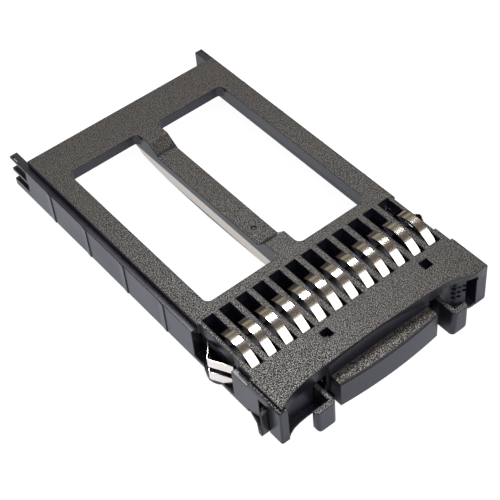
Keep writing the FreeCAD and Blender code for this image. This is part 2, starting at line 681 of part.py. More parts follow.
# ---------------------------------------------------------------- latches
# Hook in plan: a lead-in at the rear, a catch face at the front.
HOOK = [
    ("hook_root", "slide_rear_y"),
    ("outer_half - 0.2", "slide_rear_y - 0.3"),
    ("0.25 * outer_half + 0.75 * hook_reach", "hook_catch_y + 1.0"),
    ("hook_reach", "hook_catch_y"),
    ("hook_root", "hook_catch_y"),
]
SHOE = [
    ("shoe_inner", "shoe_rear_y"),
    ("outer_half - 0.15", "shoe_rear_y"),
    ("0.6 * outer_half + 0.4 * hook_reach", "0.5 * (shoe_rear_y + hook_catch_y)"),
    ("hook_reach + 0.2", "hook_catch_y + 1.3"),
    ("hook_reach + 0.25", "hook_catch_y"),
    ("shoe_inner", "hook_catch_y"),
]


def arm_foot(lean):
    """The front of the right latch's arm in plan, its inner face moved in by the lean."""
    inner = "arm_x - " + lean
    rear = "brow_y - lip_reach - latch_gap"
    return corner(inner, "tab_y", "tab_edge", -1, -1)[:6] + [
        (inner, rear),
        ("arm_x + 0.5", rear),
        ("arm_x + 0.5", "tab_y + tab_edge"),
        ("arm_x + 0.3 + tab_edge", "tab_y"),
    ]


def make_latch(label, side):
    """A finger tab on an arm, a slide across the bay, and the hook at its outer end."""
    turn = (lambda loop: loop) if side > 0 else mirrored
    latch = new_body(label)
    sign = "" if side > 0 else "-"
    tab_out = "arm_x + " + ("tab_right" if side > 0 else "tab_left")
    arm_out = "arm_x + arm_thick"
    angle = [
        ("arm_x", slide_front + " + 0.5"),
        ("arm_x", "tab_y"),
        (tab_out, "tab_y"),
        (tab_out, "tab_y + tab_thick"),
        (arm_out, "tab_y + tab_thick"),
        (arm_out, slide_front + " + 0.5"),
    ]
    add(latch, "tab", "XY", "tab_low_z", "tab_top_z", shifted(angle, side))
    cut(latch, "tab_edges", "XY", "-1", "tab_top_z + 1",
        shifted(corner("arm_x", "tab_y", "tab_edge", -1, -1), side),
        shifted(corner(tab_out, "tab_y", "tab_edge", 1, -1), side))
    cut(latch, "tab_corner_round", "XZ", "tab_y - 1", "tab_y + tab_thick + 0.1",
        shifted(corner(tab_out, "tab_low_z", "tab_corner", 1, -1), side))
    if side > 0:
        foot = latch.newObject("PartDesign::AdditiveLoft", "tab_foot")
        foot.Profile = draw(latch, "tab_foot_low", "XY", "tab_low_z",
                            [shifted(arm_foot("tab_lean"), side)])
        foot.Sections = [draw(latch, "tab_foot_high", "XY", "tab_top_z",
                              [shifted(arm_foot("0"), side)])]
        foot.Ruled = True
    add(latch, "slide", "XY", "slide_low_z", "tab_top_z",
        turn(box("arm_x + %sfront_shift" % sign, "hook_root + 0.5", slide_front,
                 "slide_rear_y")))
    add(latch, "hook", "XY", "hook_low_z", "hook_top_z", turn(HOOK))
    add(latch, "shoe", "XY", "hook_low_z", "hook_low_z + shoe_height", turn(SHOE))
    spigot = latch.newObject("Sketcher::SketchObject", "spigot_sketch")
    spigot.AttachmentSupport = (origin_item(latch, "YZ_Plane"), [""])
    spigot.MapMode = "FlatFace"
    spigot.setExpression("AttachmentOffset.Base.z",
                         bind("front_shift + arm_x - spigot_length" if side > 0
                              else "front_shift - arm_x - 0.3"))
    ring = spigot.addGeometry(Part.Circle(Vector(1, 1, 0), Vector(0, 0, 1), 1), False)
    for kind, text in (("DistanceX", SPRING_Y), ("DistanceY", SPRING_Z)):
        number = spigot.addConstraint(Sketcher.Constraint(kind, -1, 1, ring, 3, 1.0))
        spigot.setExpression("Constraints[%d]" % number, bind(text))
    number = spigot.addConstraint(Sketcher.Constraint("Radius", ring, 1.0))
    spigot.setExpression("Constraints[%d]" % number, bind("spigot_radius"))
    peg = latch.newObject("PartDesign::Pad", "spigot")
    peg.Profile = spigot
    peg.Type = "Length"
    peg.setExpression("Length", bind("spigot_length + 0.3"))
    return latch


SPRING_Y = "slide_rear_y - slide_thick / 2"
SPRING_Z = "(slide_low_z + tab_top_z) / 2"
latch_right = make_latch("latch_right", 1)
latch_left = make_latch("latch_left", -1)


# ---------------------------------------------------------------- return springs
def make_spring(label, side):
    """A helical wire between the spring stop and the latch slide, along X."""
    helix = doc.addObject("Part::Helix", label + "_line")
    helix.setExpression("Radius", bind("spring_radius"))
    helix.setExpression("Height", bind("spring_length - spring_wire"))
    helix.setExpression("Pitch", bind("(spring_length - spring_wire) / spring_turns"))
    wire = doc.addObject("Part::RegularPolygon", label + "_section")
    wire.Polygon = 8
    wire.setExpression("Circumradius", bind("spring_wire / 2"))
    wire.setExpression("Placement.Base.x", bind("spring_radius"))
    wire.Placement.Rotation = FreeCAD.Rotation(Vector(1, 0, 0), 90)
    spring = doc.addObject("Part::Sweep", label)
    spring.Sections = [wire]
    spring.Spine = (helix, ["Edge1"])
    spring.Solid = True
    spring.Frenet = True
    spring.Label = label
    spring.Placement.Rotation = FreeCAD.Rotation(Vector(0, 1, 0), 90)
    start = "front_shift + " + stop_x if side > 0 else "front_shift - arm_x"
    spring.setExpression("Placement.Base.x", bind(start + " + spring_wire / 2"))
    spring.setExpression("Placement.Base.y",
                         bind(SPRING_Y + " - (rear_y + fork_length + tab_y) / 2"))
    spring.setExpression("Placement.Base.z", bind(SPRING_Z))
    return spring


spring_left = make_spring("latch_spring_left", -1)
spring_right = make_spring("latch_spring_right", 1)

# ---------------------------------------------------------------- contact strip on top
strip = new_body("contact_strip_top")
strip_top = plate_low
row_half = "(slot_pitch * (slot_count - 1) + slot_width) / 2"
add(strip, "carrier", "XY", strip_top + " - metal_thick", strip_top,
    box("-(%s)" % row_half, row_half, "-0.5 - carrier_width", "-0.35"))

# Side view of a finger as (part of the span, height in parts of the rise or of the plate).
FINGER = [
    (0.000, -1.000, "plate"), (0.014, -0.718, "plate"), (0.034, -0.464, "plate"),
    (0.061, -0.236, "plate"), (0.092, -0.048, "plate"), (0.129, 0.170, "rise"),
    (0.172, 0.393, "rise"), (0.219, 0.591, "rise"), (0.272, 0.761, "rise"),
    (0.330, 0.895, "rise"), (0.388, 0.976, "rise"), (0.446, 1.000, "rise"),
    (0.504, 0.964, "rise"), (0.562, 0.858, "rise"), (0.620, 0.688, "rise"),
    (0.678, 0.462, "rise"), (0.736, 0.194, "rise"), (0.789, -0.085, "rise"),
    (0.842, -0.389, "rise"), (0.894, -0.700, "rise"), (0.953, -1.032, "rise"),
    (1.000, -1.267, "rise"),
]


def finger_side():
    """Closed side view: the top line from root to tip, then back one metal thickness below."""
    top = [
        (-share * size("finger_span"),
         height * (size("plate_thick") if kind == "plate" else size("finger_rise")))
        for share, height, kind in FINGER
    ]
    upper = []
    lower = []
    for i, (share, height, kind) in enumerate(FINGER):
        before = top[max(i - 1, 0)]
        after = top[min(i + 1, len(top) - 1)]
        run = math.hypot(after[0] - before[0], after[1] - before[1])
        normal = ((after[1] - before[1]) / run, -(after[0] - before[0]) / run)
        scale = "plate_thick" if kind == "plate" else "finger_rise"
        y = "-0.35 - %.4f * finger_span" % share
        z = "plate_top + %.4f * %s" % (height, scale)
        upper.append((y, z))
        lower.append(("%s - %.4f * metal_thick" % (y, normal[0]),
                      "%s - %.4f * metal_thick" % (z, normal[1])))
    return upper + list(reversed(lower))


finger = add(strip, "finger", "YZ", first_x + " - finger_width / 2",
             first_x + " + finger_width / 2", finger_side())
near = "-0.35 - 0.3 * finger_span"
far = "-0.35 - 1.05 * finger_span"
taper = []
for sign in ("-", "+"):
    taper.append([
        ("%s %s finger_width / 2" % (first_x, sign), near),
        ("%s %s finger_tip_width / 2" % (first_x, sign), far),
        ("%s %s finger_width" % (first_x, sign), far),
        ("%s %s finger_width" % (first_x, sign), near),
    ])
trim = cut(strip, "taper", "XY", plate_low + " + 0.1", "plate_top + 2 * finger_rise", *taper)
pattern(strip, "finger_row", [finger, trim], "slot_pitch", "slot_count")


# ---------------------------------------------------------------- contact clips at the sides
# Plan of a side finger: the rear leg from root to crest, then the front leg from crest to tip.
# Each corner is (part of the way across, part of the way along) its leg.
REAR_LEG = [(0.0, 0.0), (0.32, 0.25), (0.62, 0.5), (0.85, 0.72), (0.965, 0.88), (1.0, 1.0)]
FRONT_LEG = [(0.03, 0.07), (0.13, 0.16), (0.32, 0.3), (0.56, 0.5), (0.80, 0.75), (1.0, 1.0)]


def side_plan():
    """Closed plan of a side finger, one metal thickness wide."""
    root = size("inner_wall_x") + size("metal_thick")
    outer = []
    values = []
    for across, along in REAR_LEG:
        outer.append((
            "inner_wall_x + metal_thick + %.3f * (side_crest - inner_wall_x - metal_thick)"
            % across,
            "side_root_y + %.3f * (side_crest_y - side_root_y)" % along,
        ))
        values.append((root + across * (size("side_crest") - root),
                       size("side_root_y")
                       + along * (size("side_crest_y") - size("side_root_y"))))
    for across, along in FRONT_LEG:
        outer.append((
            "side_crest + %.3f * (side_tip - side_crest)" % across,
            "side_crest_y + %.3f * (side_tip_y - side_crest_y)" % along,
        ))
        values.append((size("side_crest") + across * (size("side_tip") - size("side_crest")),
                       size("side_crest_y")
                       + along * (size("side_tip_y") - size("side_crest_y"))))
    inner = []
    for i, (x, y) in enumerate(outer):
        before = values[max(i - 1, 0)]
        after = values[min(i + 1, len(values) - 1)]
        run = math.hypot(after[0] - before[0], after[1] - before[1])
        normal = ((after[1] - before[1]) / run, -(after[0] - before[0]) / run)
        inner.append(("%s + %.4f * metal_thick" % (x, normal[0]),
                      "%s + %.4f * metal_thick" % (y, normal[1])))
    inner[0] = ("inner_wall_x", "side_root_y - metal_thick")
    return outer + list(reversed(inner))


def make_clip(label, side):
    """Two bowed fingers on one base that lies on the inner wall."""
    clip = new_body(label)
    turn = (lambda loop: loop) if side > 0 else mirrored
    base = box("inner_wall_x", "inner_wall_x + metal_thick", "side_tip_y + 2",
               "side_root_y + 1.2")
    add(clip, "base", "XY", "side_low_z", "side_high_z + side_finger_height", turn(base))
    for name, low in (("lower_finger", "side_low_z"), ("upper_finger", "side_high_z")):
        add(clip, name, "XY", low, low + " + side_finger_height", turn(side_plan()))
    return clip


clip_right = make_clip("contact_clip_right", 1)
clip_left = make_clip("contact_clip_left", -1)

# ---------------------------------------------------------------- check and write
doc.recompute()
for item in doc.Objects:
    if "Invalid" in item.State or "Error" in item.State:
        raise RuntimeError("%s: %s" % (item.Name, item.State))

PIECES = [
    tray, latch_left, latch_right, spring_left, spring_right, strip, clip_left, clip_right,
]
for piece in PIECES:
    if piece.Shape.isNull() or not piece.Shape.isValid():
        raise RuntimeError(piece.Label + " has no valid shape")

os.makedirs("parts", exist_ok=True)
for piece in PIECES:
    piece.Shape.exportStep("parts/%s.step" % piece.Label)
    bounds = piece.Shape.BoundBox
    print("%-20s solids %d volume %.1f  x %.2f..%.2f y %.2f..%.2f z %.2f..%.2f" % (
        piece.Label, len(piece.Shape.Solids), piece.Shape.Volume, bounds.XMin, bounds.XMax,
        bounds.YMin, bounds.YMax, bounds.ZMin, bounds.ZMax))
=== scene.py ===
# %% [markdown]
# # A hot swap drive caddy
# This lesson dresses a caddy for a 2.5 inch drive bay. The solids come from a CAD model that is
# already the right size, in metres, and stays where it is. What is added here is what a CAD
# solid lacks: the grain of a spark-eroded mould, the sheen of its side walls, the rolled metal
# of the contact fingers, round wire in the springs, and a plain studio around it all.

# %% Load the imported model
import math

import bmesh
import bpy
from mathutils import Matrix, Vector


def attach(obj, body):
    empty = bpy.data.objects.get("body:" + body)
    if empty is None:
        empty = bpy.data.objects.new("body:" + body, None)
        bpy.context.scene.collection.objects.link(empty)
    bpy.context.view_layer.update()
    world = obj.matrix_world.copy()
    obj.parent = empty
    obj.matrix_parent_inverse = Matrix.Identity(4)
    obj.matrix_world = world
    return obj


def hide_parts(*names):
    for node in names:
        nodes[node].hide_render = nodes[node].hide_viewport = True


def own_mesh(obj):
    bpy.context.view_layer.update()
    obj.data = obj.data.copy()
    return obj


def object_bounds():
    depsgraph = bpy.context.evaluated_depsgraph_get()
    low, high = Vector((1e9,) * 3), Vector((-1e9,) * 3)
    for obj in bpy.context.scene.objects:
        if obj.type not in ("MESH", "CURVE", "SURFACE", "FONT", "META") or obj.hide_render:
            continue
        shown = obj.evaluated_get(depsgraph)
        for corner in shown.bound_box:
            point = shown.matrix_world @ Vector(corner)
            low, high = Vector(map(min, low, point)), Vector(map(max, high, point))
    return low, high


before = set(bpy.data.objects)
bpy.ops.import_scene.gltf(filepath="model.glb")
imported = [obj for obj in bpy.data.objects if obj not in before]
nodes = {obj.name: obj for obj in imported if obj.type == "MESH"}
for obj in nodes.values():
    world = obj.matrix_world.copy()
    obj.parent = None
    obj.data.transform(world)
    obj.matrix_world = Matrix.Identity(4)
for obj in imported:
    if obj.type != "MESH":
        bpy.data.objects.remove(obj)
cad_low, cad_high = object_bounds()
print("caddy spans %.1f x %.1f x %.1f mm" % tuple(1000 * (cad_high - cad_low)))

# %% Sizes in millimetres
MM = 0.001


def mm(*sizes):
    """Turns millimetres into the scene's metres."""
    return tuple(size * MM for size in sizes)


print("1 mm is %.3f scene units" % mm(1))

# %% [markdown]
# ## Writing shader maths as expressions
# A material is a graph of nodes, and sums in it are tedious to wire by hand. The class below
# wraps one socket and overloads the operators, so that `1 - mask * 0.5` adds its own Math
# nodes. Every other node comes from one method, `node`, which takes the node's type, its
# settings and what goes into its sockets.

# %% A socket that can be used in sums
class Wire:
    """One output socket of a graph."""

    def __init__(self, graph, socket):
        self.graph = graph
        self.socket = socket

    def maths(self, operation, first, second):
        settings = {"operation": operation}
        return self.graph.node("ShaderNodeMath", settings, {0: first, 1: second})["Value"]

    def __add__(self, other):
        return self.maths("ADD", self, other)

    def __sub__(self, other):
        return self.maths("SUBTRACT", self, other)

    def __rsub__(self, other):
        return self.maths("SUBTRACT", other, self)

    def __mul__(self, other):
        return self.maths("MULTIPLY", self, other)

    __radd__ = __add__
    __rmul__ = __mul__


# %% A graph and its node maker
class Graph:
    """The nodes of a material or of the world, with a short way to add more."""

    def __init__(self, tree):
        self.tree = tree

    def put(self, socket, value):
        """Links a wire to the socket, or sets a plain value on it."""
        if isinstance(value, Wire):
            self.tree.links.new(value.socket, socket)
        else:
            socket.default_value = value

    def node(self, kind, settings, sockets):
        """Adds a node and returns its live outputs by name."""
        made = self.tree.nodes.new(kind)
        for name, value in settings.items():
            if name == "stops":
                self.set_stops(made.color_ramp, value)
            else:
                setattr(made, name, value)
        for name, value in sockets.items():
            self.put(made.inputs[name], value)
        return {out.name: Wire(self, out) for out in made.outputs if out.enabled}

    def set_stops(self, ramp, stops):
        while len(ramp.elements) < len(stops):
            ramp.elements.new(0.5)
        for element, (place, colour) in zip(ramp.elements, stops):
            element.position = place
            element.color = colour

    def axes(self, vector):
        parts = self.node("ShaderNodeSeparateXYZ", {}, {"Vector": vector})
        return parts["X"], parts["Y"], parts["Z"]


# %% A material with one shader, and its patterns
class Finish(Graph):
    """A material with one Principled shader."""

    # A Mix node has a set of sockets for each kind of data. These are the ones for colours.
    MIX_FACTOR, MIX_FIRST, MIX_SECOND = 0, 6, 7

    def __init__(self, name, **plain):
        self.material = bpy.data.materials.new(name)
        self.material.use_nodes = True
        super().__init__(self.material.node_tree)
        self.shader = self.tree.nodes["Principled BSDF"]
        self.feed(**plain)

    def feed(self, **values):
        """Sets or links the shader's sockets, with _ for each space in a name."""
        for name, value in values.items():
            self.put(self.shader.inputs[name.replace("_", " ")], value)

    def place(self):
        """Where a point lies on the piece, in metres."""
        return self.node("ShaderNodeTexCoord", {}, {})["Object"]

    def facing(self):
        """The direction a face looks in, before any bump."""
        return self.node("ShaderNodeNewGeometry", {}, {})["True Normal"]

    def noise(self, vector, scale, detail, roughness=0.5):
        sockets = {"Vector": vector, "Scale": scale, "Detail": detail, "Roughness": roughness}
        return self.node("ShaderNodeTexNoise", {}, sockets)["Fac"]

    def fade(self, value, low, high):
        """0 below low, 1 above high, smooth between them."""
        settings = {"interpolation_type": "SMOOTHSTEP"}
        sockets = {"Value": value, "From Min": low, "From Max": high}
        return self.node("ShaderNodeMapRange", settings, sockets)["Result"]

    def within(self, value, rise, fall):
        """Fades in over the rise and out over the fall, each a (low, high) pair."""
        return self.fade(value, *rise) * (1 - self.fade(value, *fall))

    def blend(self, factor, first, second):
        """The first colour where the factor is 0, the second where it is 1."""
        sockets = {self.MIX_FACTOR: factor, self.MIX_FIRST: first, self.MIX_SECOND: second}
        return self.node("ShaderNodeMix", {"data_type": "RGBA"}, sockets)["Result"]


# %% [markdown]
# ## The black plastic
# The real tray is one moulding in black glass-filled nylon. Its upward faces carry a coarse
# spark-eroded grain that scatters light and looks dark grey, while the walls that slide in
# the bay are smooth and show a soft sheen. Two finishes on one mesh could be two material
# slots, but the faces of a CAD mesh can't be re-assigned here. A mask made from the direction
# of the surface does the same: it is 1 where the face looks up and 0 on the walls. A second
# mask finds the edges. The Bevel node returns the normal of an edge rounded off, and where it
# leans away from the true normal there is an edge, which a mould leaves smooth. A third mask
# is for the left flank of the beam between the windows, where a pale reflection of the floor
# is painted into the colour.

# %% Masks of the grain and the edges
EDGE_RADIUS = 0.5 * MM
EDGE_COSINE = (0.93, 0.995)     # between the rounded and the true normal: an edge, a flat
FACES_UP = (0.70, 0.80)         # z of the normal where the grain starts
GRAIN_FROM_Z = mm(7.6, 7.9)     # the ledges below this are smooth
RAIL_TOP_Z = (mm(11.5, 11.55), mm(12.1, 12.2))      # so are the tops of the side rails


def grain_and_edge(finish, place):
    """1 on grained faces, 1 on edges, and the normal with rounded edges."""
    facing = finish.facing()
    rounded = finish.node("ShaderNodeBevel", {"samples": 6}, {"Radius": EDGE_RADIUS})["Normal"]
    along = finish.node("ShaderNodeVectorMath", {"operation": "DOT_PRODUCT"},
                        {0: rounded, 1: facing})["Value"]
    edge = 1 - finish.fade(along, *EDGE_COSINE)
    height = finish.axes(place)[2]
    up = finish.fade(finish.axes(facing)[2], *FACES_UP)
    high = finish.fade(height, *GRAIN_FROM_Z)
    rail_top = finish.within(height, *RAIL_TOP_Z)
    return up * high * (1 - rail_top) * (1 - edge), edge, rounded


# %% Mask of the beam's left flank
FLANK_SLOPE = ((-0.6, -0.5), (-0.12, -0.08))        # it leans a little downward
FLANK_X = (mm(-3.8, -3.7), mm(-1.0, -0.5))
FLANK_FROM_Y = mm(-23.0, -22.5)
FLANK_TOP_Z = mm(9.0, 9.2)


def beam_flank(finish, place):
    """1 on the smoother left flank under the beam, between the windows, where a pale reflection
    of the floor is painted.
    """
    x, y, z = finish.axes(place)
    leaning = finish.within(finish.axes(finish.facing())[2], *FLANK_SLOPE)
    at_windows = finish.fade(y, *FLANK_FROM_Y)
    below_top = 1 - finish.fade(z, *FLANK_TOP_Z)
    return leaning * finish.within(x, *FLANK_X) * at_windows * below_top


# %% Colours and roughness of the black plastic
WALL_COLOURS = ((0.004, 0.004, 0.007, 1), (0.007, 0.007, 0.012, 1))     # in large patches
WALL_LEVEL = (0.35, 0.65)       # of the patches' noise, from the first colour to the second
GRAIN_COLOURS = ((0.002, 0.002, 0.002, 1), (0.054, 0.045, 0.037, 1))    # pit, peak
PEAK_LEVEL = (0.50, 0.59)       # of the grain's noise, from a pit to a peak
# painted reflection: the pale colour and metal of the beam's flank stand in for the floor
# reflected there
FLANK_REFLECTION_COLOUR = (0.52, 0.44, 0.33, 1)
FLANK_REFLECTION_METALLIC = 0.9
WALL_ROUGHNESS, PATCH_ROUGHER, EDGE_ROUGHER = 0.27, 0.08, 0.25
SHEEN_LEVEL = (0.3, 0.7)        # of the patches' noise, from smooth to rough
FLANK_SMOOTHER = 0.6            # the share of the wall's roughness that the flank loses
PIT_ROUGHNESS, PEAK_SMOOTHER = 0.78, 0.45
PITS, CLUMPS, FINE, PATCHES = 3400.0, 2100.0, 5200.0, 45.0      # spots of noise in a metre
GRAIN_DEPTH, GRAIN_STRENGTH = 0.1 * MM, 0.7
PIT_SHARE, CLUMP_SHARE = 0.85, 0.15         # in the grain's colour
PIT_HEIGHT, CLUMP_HEIGHT, WALL_HEIGHT = 0.7, 0.5, 0.02      # in the bump
print("grain spots are %.2f mm wide" % (1000 / PITS))


# %% The black plastic
def black_plastic():
    """Black moulded plastic with a grained top and smooth walls."""
    finish = Finish("black_plastic", IOR=1.5)
    place = finish.place()
    grained, edge, rounded = grain_and_edge(finish, place)
    smooth = 1 - grained
    flank_reflection = beam_flank(finish, place)
    pits = finish.noise(place, PITS, detail=0.0)
    clumps = finish.noise(place, CLUMPS, detail=0.0)
    patches = finish.noise(place, PATCHES, detail=3.0)
    peaks = finish.fade(pits * PIT_SHARE + clumps * CLUMP_SHARE, *PEAK_LEVEL)

    walls = finish.blend(finish.fade(patches, *WALL_LEVEL), *WALL_COLOURS)
    # painted reflection of the floor on the beam's left flank
    walls = finish.blend(flank_reflection, walls, FLANK_REFLECTION_COLOUR)
    colour = finish.blend(grained, walls, finish.blend(peaks, *GRAIN_COLOURS))

    sheen = (WALL_ROUGHNESS + finish.fade(patches, *SHEEN_LEVEL) * PATCH_ROUGHER
             + edge * EDGE_ROUGHER) * (1 - flank_reflection * FLANK_SMOOTHER)
    roughness = sheen * smooth + (PIT_ROUGHNESS - peaks * PEAK_SMOOTHER) * grained

    waves = finish.noise(place, FINE, detail=2.0)
    height = ((pits * PIT_HEIGHT + clumps * CLUMP_HEIGHT) * grained
              + waves * smooth * WALL_HEIGHT)
    bump = finish.node("ShaderNodeBump", {}, {
        "Strength": GRAIN_STRENGTH, "Distance": GRAIN_DEPTH, "Height": height,
        "Normal": rounded})
    finish.feed(Base_Color=colour, Roughness=roughness, Metallic=flank_reflection * FLANK_REFLECTION_METALLIC,
                Normal=bump["Normal"])
    return finish.material


# %% Give the moulded parts their plastic
def dress(node, material):
    """A CAD node's mesh gets one material in place of its own."""
    mesh = nodes[node].data
    mesh.materials.clear()
    mesh.materials.append(material)


plastic = black_plastic()
for name in ("tray_body", "latch_left", "latch_right"):
    dress(name, plastic)
print("black plastic on the tray and both latches")

# %% [markdown]
# ## Rolled contact metal
# The fingers are thin stainless strip, bright from the rolling mill, with faint lines across
# the strip. Such lines stretch a noise along one axis. A warm tint gathers in broad smudges.
# The top strip is brown at the roots of its fingers, partly tarnish and partly a painted dark
# reflection, and its carrier is painted dark as painted shade, for it lies in shadow under the
# plate. These follow the place on the strip, so they are masks as well. The springs are dull
# wire, made by the same function without these marks.

# %% Rolled metal
ROLLING_LINES, SMUDGES = 900.0, 160.0       # spots of noise in a metre
LINE_DEPTH, LINE_STRENGTH, LINE_ROUGHER = 0.04 * MM, 0.03, 0.08
SMUDGE_LEVEL, SMUDGE_SHARE = (0.42, 0.68), 0.6
WARM = (0.95, 0.89, 0.80)                   # what a smudge leaves of red, green and blue


def rolled_metal(name, tint, roughness, lines, stain_and_shade=None):
    """Bright metal whose rolling lines are stretched by the scales in `lines`."""
    finish = Finish(name, Metallic=1.0)
    place = finish.place()
    stretched = finish.node("ShaderNodeMapping", {}, {"Vector": place, "Scale": lines})
    streaks = finish.noise(stretched["Vector"], ROLLING_LINES, detail=3.0, roughness=0.6)
    smudged = finish.fade(finish.noise(place, SMUDGES, detail=2.0), *SMUDGE_LEVEL)
    warm = tuple(part * left for part, left in zip(tint, WARM)) + (1,)
    colour = finish.blend(smudged * SMUDGE_SHARE, tint, warm)
    rough = roughness + streaks * LINE_ROUGHER
    if stain_and_shade:
        colour, rough = stain_and_shade(finish, place, colour, rough)
    bump = finish.node("ShaderNodeBump", {}, {
        "Strength": LINE_STRENGTH, "Distance": LINE_DEPTH, "Height": streaks})
    finish.feed(Base_Color=colour, Roughness=rough, Normal=bump["Normal"])
    return finish.material


# %% Tarnish and painted shade of the top strip
STRIP_HALF_X = mm(34.21, 34.35)         # past this, either way, are the side fingers
CARRIER_Z = mm(10.75, 11.1)
# painted shade: the carrier lies in shadow under the plate, so it is painted dark and dull
CARRIER_SHADE_COLOUR, CARRIER_ROUGHER = (0.035, 0.036, 0.045, 1), 0.4
# brown at the finger roots: partly tarnish, partly a painted dark reflection
TARNISH_AND_SHADE = (                             # where it fades in along Y, and its colour
    (mm(-39.5, -32.5), (0.30, 0.235, 0.16, 1)),
    (mm(-36.2, -32.2), (0.10, 0.065, 0.035, 1)),
)


def strip_tarnish_and_shade(finish, place, colour, rough):
    """Tarnish and a painted dark reflection at the roots of the top fingers, and painted shade
    on the carrier strip.
    """
    x, y, z = finish.axes(place)
    on_top = 1 - finish.fade(x * x, *(edge ** 2 for edge in STRIP_HALF_X))
    for reach, stain_and_shade in TARNISH_AND_SHADE:
        colour = finish.blend(finish.fade(y, *reach) * on_top, colour, stain_and_shade)
    # painted shade on the carrier strip under the plate
    carrier_shade = (1 - finish.fade(z, *CARRIER_Z)) * on_top
    return finish.blend(carrier_shade, colour, CARRIER_SHADE_COLOUR), rough + carrier_shade * CARRIER_ROUGHER


# %% Contact metal and spring wire
contact = rolled_metal("contact_metal", tint=(0.86, 0.82, 0.76, 1), roughness=0.13,
                       lines=(0.15, 4.0, 4.0), stain_and_shade=strip_tarnish_and_shade)
wire_steel = rolled_metal("spring_steel", tint=(0.16, 0.16, 0.17, 1), roughness=0.38,
                          lines=(1.0, 1.0, 1.0))
print("rolled metal and wire steel are ready")

# %% [markdown]
# ## The contact fingers
# Twelve fingers arch out of the slots. On the real part they are sheared from one strip and
# bent over a form, so each is a smooth arch with crisp sheared sides. The CAD solid has the
# right arch in short flat steps, and bright metal shows every step. Here the same arch is a
# chain of vertices that is extruded sideways into a strip and given its thickness, and its
# shading is smooth along the arch and sharp at the sheared sides.

# %% A strip bent along a line
METAL_THICK = 0.2 * MM
TAPER_FROM = 0.7                # share of the strip's reach, from its tip, that narrows


def bent_strip(bm, line, sideways, narrow=1.0):
    """Adds a strip centred on the line, its thickness below it, as narrow at its tip."""
    half = Vector(sideways) / 2
    near = [bm.verts.new(Vector(point) - half) for point in line]
    edges = [bm.edges.new(pair) for pair in zip(near, near[1:])]
    grown = bmesh.ops.extrude_edge_only(bm, edges=edges)["geom"]
    far = [item for item in grown if isinstance(item, bmesh.types.BMVert)]
    faces = [item for item in grown if isinstance(item, bmesh.types.BMFace)]
    bmesh.ops.translate(bm, verts=far, vec=half * 2)
    tip = Vector(line[-1])
    reach = (tip - Vector(line[0])).length
    across = half.normalized()
    for vert in near + far:
        to_tip = max(0.0, 1 - (vert.co - tip).length / (TAPER_FROM * reach))
        vert.co -= across * (vert.co - tip).dot(across) * (1 - narrow) * to_tip
    bmesh.ops.recalc_face_normals(bm, faces=faces)
    bmesh.ops.solidify(bm, geom=faces + near + far, thickness=METAL_THICK)


def flat_plate(bm, size, middle):
    """Adds a flat plate, its size and middle in millimetres."""
    verts = bmesh.ops.create_cube(bm, size=1.0)["verts"]
    bmesh.ops.scale(bm, verts=verts, vec=mm(*size))
    bmesh.ops.translate(bm, verts=verts, vec=mm(*middle))


# %% Make a bmesh a piece of the caddy
SHARP_ANGLE = math.radians(35)


def add_object(name, data):
    """Puts a mesh, lamp or camera in the scene."""
    made = bpy.data.objects.new(name, data)
    bpy.context.collection.objects.link(made)
    return made


def finish_mesh(bm, name, material, body, node):
    """Writes a bmesh to an object that stands for a CAD node."""
    bmesh.ops.recalc_face_normals(bm, faces=bm.faces)
    mesh = bpy.data.meshes.new(name)
    bm.to_mesh(mesh)
    bm.free()
    mesh.shade_smooth()
    mesh.set_sharp_from_angle(angle=SHARP_ANGLE)
    mesh.materials.append(material)
    made = add_object(name, mesh)
    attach(made, body)
    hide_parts(node)
    print("%s: %d faces" % (name, len(mesh.polygons)))
    return made


# %% Twelve fingers over the top
ROOT_Y = -30.815                # just behind the roots; the outlines are measured from here
FINGER_COUNT, FINGER_PITCH, FINGER_WIDTH = 12, 5.86, 2.8
TIP_SHARE = 0.9                 # width at the tip, as a share of the width at the root
SINK = 0.05                     # keeps the smooth arch just under the stepped one
ARCH = [                        # (y, z) from the root over the crest to the tip
    (-0.35, 10.70), (-0.62, 11.75), (-1.00, 12.70), (-1.50, 13.55), (-2.10, 14.25),
    (-2.80, 14.85), (-3.60, 15.40), (-4.50, 15.89), (-5.50, 16.31), (-6.60, 16.64),
    (-7.70, 16.84), (-8.80, 16.90), (-9.90, 16.81), (-11.0, 16.55), (-12.1, 16.13),
    (-13.2, 15.57), (-14.3, 14.91), (-15.3, 14.22), (-16.3, 13.47), (-17.3, 12.70),
    (-18.4, 11.88), (-19.3, 11.30),
]
CARRIER_SIZE, CARRIER_MIDDLE = (68.3, 4.7, 0.18), (0, ROOT_Y - 2.9, 10.6)

bm = bmesh.new()
for number in range(FINGER_COUNT):
    x = (number - (FINGER_COUNT - 1) / 2) * FINGER_PITCH
    line = [mm(x, y + ROOT_Y, z - SINK) for y, z in ARCH]
    bent_strip(bm, line, mm(FINGER_WIDTH, 0, 0), narrow=TIP_SHARE)
flat_plate(bm, CARRIER_SIZE, CARRIER_MIDDLE)
finish_mesh(bm, "contact_fingers", contact, "tray", "contact_strip_top")

# %% [markdown]
# ## The side fingers
# A clip behind each side wall holds two more fingers, one over the other, that bow out through
# the wall and press on the bay. They are bent from the same strip, so the same function makes
# them, with the line drawn in plan and the strip standing on edge. The right clip mirrors the
# left one, its line and its width alike.

